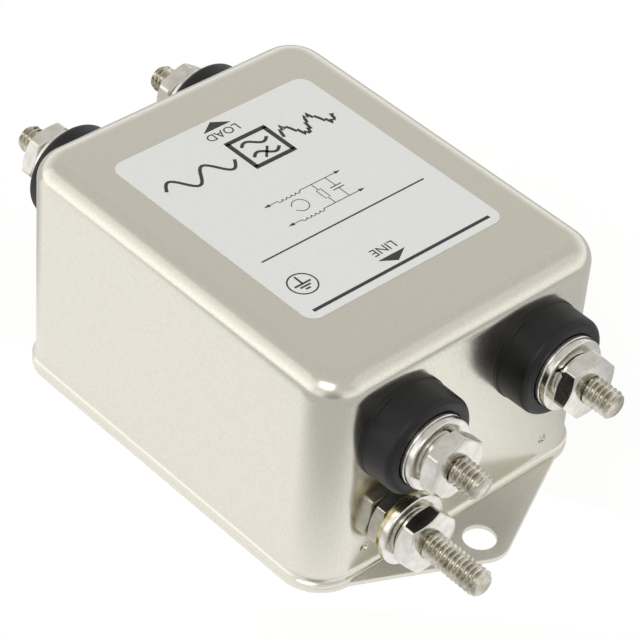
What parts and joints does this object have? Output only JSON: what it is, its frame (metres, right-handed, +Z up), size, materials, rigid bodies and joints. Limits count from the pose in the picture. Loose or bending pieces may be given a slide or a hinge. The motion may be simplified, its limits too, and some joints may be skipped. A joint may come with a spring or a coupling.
{
  "type": "emi line filter",
  "caption": "Mains interference filter: drawn steel can on an eared base plate, insulated stud terminals on both ends and a ground stud on one.",
  "frame": {"origin": "centre of the base plate's underside, midway between the two mounting holes", "axes": "+X points to the LINE end, which carries the ground stud; -X is the LOAD end; Y is across the can; +Z is up, out of the labelled top"},
  "size_m": [0.0968, 0.0526, 0.0368],
  "materials": {
    "tinned_steel": "satin tin plate",
    "plate_steel": "satin tin plate",
    "label_film": "satin metallised film",
    "phenolic": "moulded phenolic",
    "nickel_steel": "bright nickel plate",
    "chromate_steel": "yellow chromate",
    "tinned_brass": "tinned",
    "ferrite": "epoxy coat",
    "enamelled_copper": "gloss enamel",
    "fibre_board": "matt",
    "film_capacitor": "moulded case",
    "safety_capacitor": "dipped epoxy",
    "resistor_body": "lacquer",
    "wire_black": "insulation",
    "wire_green": "insulation"
  },
  "bodies": {
    "root": {"can": "tinned_steel", "base_plate": "plate_steel", "base_clips": "plate_steel", "label": "label_film", "line_insulator_1": "phenolic", "line_insulator_2": "phenolic", "load_insulator_1": "phenolic", "load_insulator_2": "phenolic", "inner_insulators": "phenolic", "line_stud_1": "nickel_steel", "line_stud_2": "nickel_steel", "load_stud_1": "nickel_steel", "load_stud_2": "nickel_steel", "terminal_washers": "nickel_steel", "terminal_clamp_washers": "nickel_steel", "terminal_lock_washers": "nickel_steel", "terminal_nuts": "nickel_steel", "terminal_lugs": "tinned_brass", "ground_stud": "nickel_steel", "ground_lug": "tinned_brass", "ground_jam_nut": "nickel_steel", "ground_contact_washer": "chromate_steel", "ground_washer": "nickel_steel", "ground_lock_washer": "nickel_steel", "ground_nut": "nickel_steel", "base_liner": "fibre_board", "choke_core": "ferrite", "winding_1": "enamelled_copper", "winding_2": "enamelled_copper", "winding_divider": "fibre_board", "x_capacitor": "film_capacitor", "y_capacitor_1": "safety_capacitor", "y_capacitor_2": "safety_capacitor", "bleed_resistor": "resistor_body", "line_lead_1": "wire_black", "line_lead_2": "wire_black", "load_lead_1": "wire_black", "load_lead_2": "wire_black", "ground_lead": "wire_green"}
  },
  "joints": []
}
